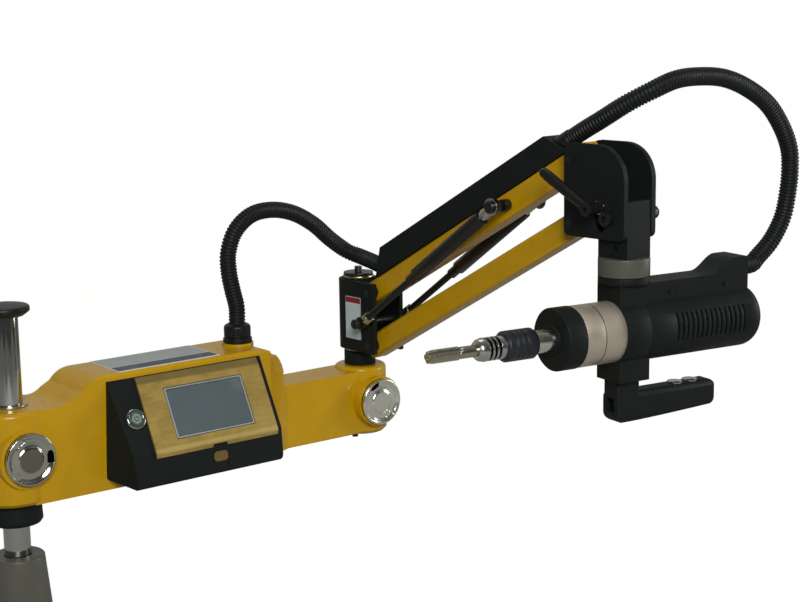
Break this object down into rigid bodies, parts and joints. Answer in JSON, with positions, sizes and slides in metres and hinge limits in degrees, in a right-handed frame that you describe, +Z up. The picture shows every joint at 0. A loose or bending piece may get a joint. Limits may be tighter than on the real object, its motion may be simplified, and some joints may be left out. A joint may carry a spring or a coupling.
{
  "type": "swing-arm tapping machine",
  "caption": "Swing-arm tapping machine: a column-mounted arm with a control panel carries a sprung parallel arm and a tilting motor head that drives a tap.",
  "frame": {"origin": "Centre of the base plate's underside.", "axes": "+Z up along the column, +X from the column to the knuckle at rest, -Y the side of the control panel."},
  "size_m": [0.7955, 0.5449, 0.6774],
  "materials": {
    "yellow_paint": "semi-gloss enamel",
    "dark_paint": "fine textured powder coat",
    "base_paint": "satin",
    "grey_paint": "satin",
    "chrome_steel": "ground and hard chromed",
    "turned_steel": "turned",
    "zinc_steel": "zinc plated",
    "black_steel": "black oxide",
    "black_plastic": "moulded",
    "gold_panel": "satin",
    "silver_frame": "anodised",
    "screen": "gloss",
    "label_metal": "printed with plain areas",
    "gear_alloy": "turned",
    "tap_steel": "ground",
    "hose_grey": "matt ribbed"
  },
  "bodies": {
    "base": {"base_plate": "base_paint", "column_socket": "grey_paint", "column_rod": "chrome_steel", "column_cap": "black_plastic"},
    "collar": {"support_collar": "dark_paint"},
    "swing_arm": {"arm_casting": "yellow_paint", "column_bushes": "turned_steel", "bearing_cap_left": "turned_steel", "bearing_cap_right": "turned_steel", "panel_housing": "dark_paint", "panel_bezel": "gold_panel", "screen_frame": "silver_frame", "screen_glass": "screen", "power_ring": "chrome_steel", "port_tab": "gold_panel", "arm_screws": "black_steel", "top_plate": "label_metal", "hose_gland": "black_plastic", "hose_arm": "hose_grey"},
    "power_switch": {"power_button": "turned_steel"},
    "arm_lock": {"arm_lock_knob": "black_plastic"},
    "knuckle": {"knuckle_shaft": "dark_paint", "knuckle_rings": "zinc_steel", "knuckle_bracket": "dark_paint", "knuckle_disc": "black_steel", "knuckle_pins": "zinc_steel", "spring_cross_rod": "zinc_steel", "knuckle_plate": "label_metal"},
    "upper_arm_link": {"upper_link": "yellow_paint", "cable_cover": "dark_paint", "cover_grommet": "black_plastic", "spring_bosses": "black_steel", "hose_head": "hose_grey"},
    "lower_arm_link": {"lower_link": "yellow_paint"},
    "near_spring_rod": {"gas_rod_near": "black_steel"},
    "near_spring_tube": {"gas_tube_near": "black_steel"},
    "far_spring_rod": {"gas_rod_far": "black_steel"},
    "far_spring_tube": {"gas_tube_far": "black_steel"},
    "head_end": {"head_bracket": "dark_paint", "head_pins": "black_steel", "tilt_bolt": "black_steel"},
    "neck": {"tilt_block": "dark_paint", "swivel_ring": "grey_paint", "clamp_stud": "chrome_steel"},
    "tilt_lever": {"clamp_lever": "black_steel"},
    "tilt_lock": {"tilt_knob": "black_plastic"},
    "motor_head": {"motor_clamp": "dark_paint", "front_collar": "dark_paint", "gear_housing": "gear_alloy", "motor_shell": "dark_paint", "cable_channel": "dark_paint", "channel_screws": "black_steel", "handle": "dark_paint"},
    "start_switch": {"button_start": "chrome_steel"},
    "reverse_switch": {"button_reverse": "chrome_steel"},
    "rotor": {"spindle": "turned_steel", "tap_chuck": "turned_steel", "tap": "tap_steel"},
    "sleeve": {"chuck_sleeve": "black_steel"}
  },
  "joints": [
    {"name": "arm_height", "type": "slide", "parent": "base", "child": "collar", "axis": [0, 0, 1], "range_m": [-0.028, 0.08]},
    {"name": "arm_swing", "type": "hinge", "parent": "collar", "child": "swing_arm", "pos_m": [0, 0, 0.24], "axis": [0, 0, 1], "continuous": true},
    {"name": "power_press", "type": "slide", "parent": "swing_arm", "child": "power_switch", "axis": [0, 0.8829, -0.4695], "range_m": [0, 0.0015], "stiffness_N_per_m": 400},
    {"name": "arm_lock_turn", "type": "hinge", "parent": "swing_arm", "child": "arm_lock", "pos_m": [0.032, 0.05, 0.323], "axis": [0, 1, 0], "range_deg": [-120, 120]},
    {"name": "knuckle_swing", "type": "hinge", "parent": "swing_arm", "child": "knuckle", "pos_m": [0.457, 0, 0.33], "axis": [0, 0, 1], "range_deg": [-64, 226], "deforming": ["hose_arm"]},
    {"name": "link_lift", "type": "hinge", "parent": "knuckle", "child": "upper_arm_link", "pos_m": [0.45989, -0.0414, 0.41], "axis": [-0.9976, -0.0698, 0], "range_deg": [-40, 18], "deforming": ["hose_arm"]},
    {"name": "lower_link_lift", "type": "hinge", "parent": "knuckle", "child": "lower_arm_link", "pos_m": [0.45989, -0.0414, 0.346], "axis": [-0.9976, -0.0698, 0], "range_deg": [-40, 18]},
    {"name": "head_level", "type": "hinge", "parent": "upper_arm_link", "child": "head_end", "pos_m": [0.4821, -0.35898, 0.58647], "axis": [-0.9976, -0.0698, 0], "range_deg": [-18, 40], "deforming": ["hose_head"]},
    {"name": "near_spring_swing", "type": "hinge", "parent": "knuckle", "child": "near_spring_rod", "pos_m": [0.42708, -0.0452, 0.3755], "axis": [-0.9976, -0.0698, 0], "range_deg": [-38.5, 17.5]},
    {"name": "near_spring_stroke", "type": "slide", "parent": "near_spring_rod", "child": "near_spring_tube", "axis": [0.0567, -0.8107, 0.5827], "range_m": [-0.022, 0.01]},
    {"name": "far_spring_swing", "type": "hinge", "parent": "knuckle", "child": "far_spring_rod", "pos_m": [0.49292, -0.04059, 0.3755], "axis": [-0.9976, -0.0698, 0], "range_deg": [-38.5, 17.5]},
    {"name": "far_spring_stroke", "type": "slide", "parent": "far_spring_rod", "child": "far_spring_tube", "axis": [0.0567, -0.8107, 0.5827], "range_m": [-0.022, 0.01]},
    {"name": "head_tilt", "type": "hinge", "parent": "head_end", "child": "neck", "pos_m": [0.48574, -0.411, 0.531], "axis": [-0.9976, -0.0698, 0], "range_deg": [0, 90], "deforming": ["hose_head"]},
    {"name": "tilt_lever_turn", "type": "hinge", "parent": "neck", "child": "tilt_lever", "pos_m": [0.44507, -0.40281, 0.5415], "axis": [-0.9976, -0.0698, 0], "range_deg": [-50, 30]},
    {"name": "tilt_lock_turn", "type": "hinge", "parent": "head_end", "child": "tilt_lock", "pos_m": [0.51766, -0.40876, 0.531], "axis": [-0.9976, -0.0698, 0], "range_deg": [-120, 120]},
    {"name": "head_swivel", "type": "hinge", "parent": "neck", "child": "motor_head", "pos_m": [0.48574, -0.411, 0.48], "axis": [0, 0, 1], "range_deg": [-65, 60], "deforming": ["hose_head"]},
    {"name": "start_press", "type": "slide", "parent": "motor_head", "child": "start_switch", "axis": [0, 0, -1], "range_m": [0, 0.002], "stiffness_N_per_m": 400},
    {"name": "reverse_press", "type": "slide", "parent": "motor_head", "child": "reverse_switch", "axis": [0, 0, -1], "range_m": [0, 0.002], "stiffness_N_per_m": 400},
    {"name": "spindle_turn", "type": "hinge", "parent": "motor_head", "child": "rotor", "pos_m": [0.48574, -0.411, 0.4145], "axis": [0.9903, -0.1392, 0], "continuous": true},
    {"name": "sleeve_slide", "type": "slide", "parent": "rotor", "child": "sleeve", "axis": [0.9903, -0.1392, 0], "range_m": [0, 0.004], "stiffness_N_per_m": 600}
  ],
  "couplings": [
    {"joint": "lower_link_lift", "follows": "link_lift", "ratio": 1},
    {"joint": "head_level", "follows": "link_lift", "ratio": -1},
    {"joint": "near_spring_swing", "follows": "link_lift", "ratio": 0.955},
    {"joint": "far_spring_swing", "follows": "link_lift", "ratio": 0.955},
    {"joint": "near_spring_stroke", "follows": "link_lift", "m_per_rad": 0.031},
    {"joint": "far_spring_stroke", "follows": "link_lift", "m_per_rad": 0.031}
  ]
}
